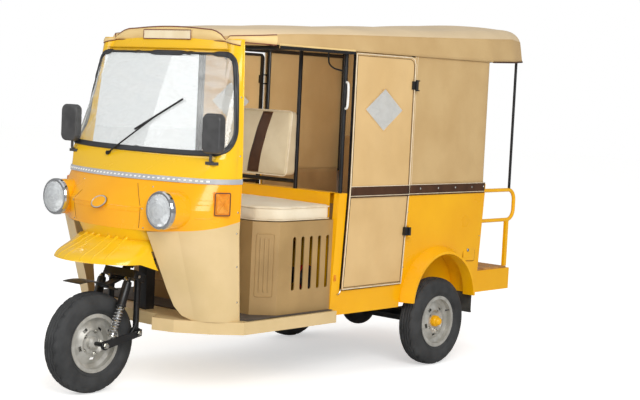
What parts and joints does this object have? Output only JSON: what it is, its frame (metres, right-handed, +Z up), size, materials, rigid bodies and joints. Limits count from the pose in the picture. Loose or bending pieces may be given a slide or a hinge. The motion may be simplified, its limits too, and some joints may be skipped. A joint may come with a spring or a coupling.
{
  "type": "auto rickshaw",
  "caption": "Three-wheeled motor rickshaw with a golden yellow cab and body, beige canopy and doors, a steered front wheel, driver and passenger seats and a railed rear goods deck.",
  "frame": {"origin": "on the ground under the middle of the vehicle's overall length and width", "axes": "+Z up, -Y towards the front wheel, +X towards the driver's left"},
  "size_m": [1.204, 3.0549, 1.92],
  "materials": {
    "yellow_paint": "gloss golden yellow enamel",
    "beige_moulding": "satin moulded beige",
    "beige_vinyl": "coated canopy cloth",
    "black_paint": "semi-gloss black",
    "black_rubber": "matte extruded rubber",
    "black_plastic": "fine grained black",
    "clear_glass": "clear",
    "chrome": "plated",
    "amber_lens": "ribbed clear amber",
    "silver_steel": "silver painted pressed steel",
    "tyre_rubber": "moulded rubber",
    "brown_boards": "varnished boards"
  },
  "bodies": {
    "body": {"back_panel": "yellow_paint", "bulkhead": "yellow_paint", "cab_floor": "beige_moulding", "canopy_curtains": "beige_vinyl", "canopy_frame": "black_paint", "canopy_roof": "beige_vinyl", "chassis_frame": "black_paint", "chrome_strip": "chrome", "deck_boards": "brown_boards", "deck_tray": "yellow_paint", "door_sill_left": "yellow_paint", "door_sill_right": "yellow_paint", "driver_backrest": "beige_vinyl", "driver_cushion": "beige_vinyl", "engine_unit": "black_paint", "front_cowl": "yellow_paint", "headlamp_left": "chrome", "headlamp_lenses": "clear_glass", "headlamp_right": "chrome", "indicators": "amber_lens", "leaf_springs": "black_paint", "leg_shield_left": "beige_moulding", "leg_shield_right": "beige_moulding", "mirror_left": "black_plastic", "mirror_right": "black_plastic", "mudflaps": "black_rubber", "nose_fender": "yellow_paint", "passenger_backrest": "beige_vinyl", "passenger_cushion": "beige_vinyl", "passenger_floor": "black_paint", "rack_rail_left": "yellow_paint", "rack_rail_right": "yellow_paint", "rear_axle": "black_paint", "rear_quarter_left": "yellow_paint", "rear_quarter_right": "yellow_paint", "roof_stays": "black_paint", "seat_box": "beige_moulding", "wheelhouses": "yellow_paint", "windscreen_glass": "clear_glass", "windscreen_seal": "black_rubber", "wiper": "black_paint"},
    "steering": {"fork": "black_paint", "front_mudguard": "black_paint", "handlebar": "black_paint", "link_arms": "black_paint", "shocks": "chrome"},
    "front_wheel": {"front_wheel_rim": "silver_steel", "front_wheel_tyre": "tyre_rubber"},
    "rear_wheel_left": {"rear_wheel_left_rim": "silver_steel", "rear_wheel_left_tyre": "tyre_rubber"},
    "rear_wheel_right": {"rear_wheel_right_rim": "silver_steel", "rear_wheel_right_tyre": "tyre_rubber"},
    "door_left": {"door_frame_left": "black_paint", "door_skin_left": "beige_vinyl", "door_window_left": "clear_glass"},
    "door_right": {"door_frame_right": "black_paint", "door_skin_right": "beige_vinyl", "door_window_right": "clear_glass"}
  },
  "joints": [
    {"name": "steering", "type": "hinge", "parent": "body", "child": "steering", "pos_m": [0, -1.0845, 0.55], "axis": [0, 0.4067, 0.9135], "range_deg": [-32, 32]},
    {"name": "front_wheel_spin", "type": "hinge", "parent": "steering", "child": "front_wheel", "pos_m": [0, -1.2845, 0.243], "axis": [1, 0, 0], "continuous": true},
    {"name": "rear_wheel_left_spin", "type": "hinge", "parent": "body", "child": "rear_wheel_left", "pos_m": [0.53, 0.7155, 0.243], "axis": [1, 0, 0], "continuous": true},
    {"name": "rear_wheel_right_spin", "type": "hinge", "parent": "body", "child": "rear_wheel_right", "pos_m": [-0.53, 0.7155, 0.243], "axis": [1, 0, 0], "continuous": true},
    {"name": "door_left_hinge", "type": "hinge", "parent": "body", "child": "door_left", "pos_m": [0.576, 0.4155, 1], "axis": [0, 0, 1], "range_deg": [0, 95]},
    {"name": "door_right_hinge", "type": "hinge", "parent": "body", "child": "door_right", "pos_m": [-0.576, 0.4155, 1], "axis": [0, 0, -1], "range_deg": [0, 95]}
  ]
}
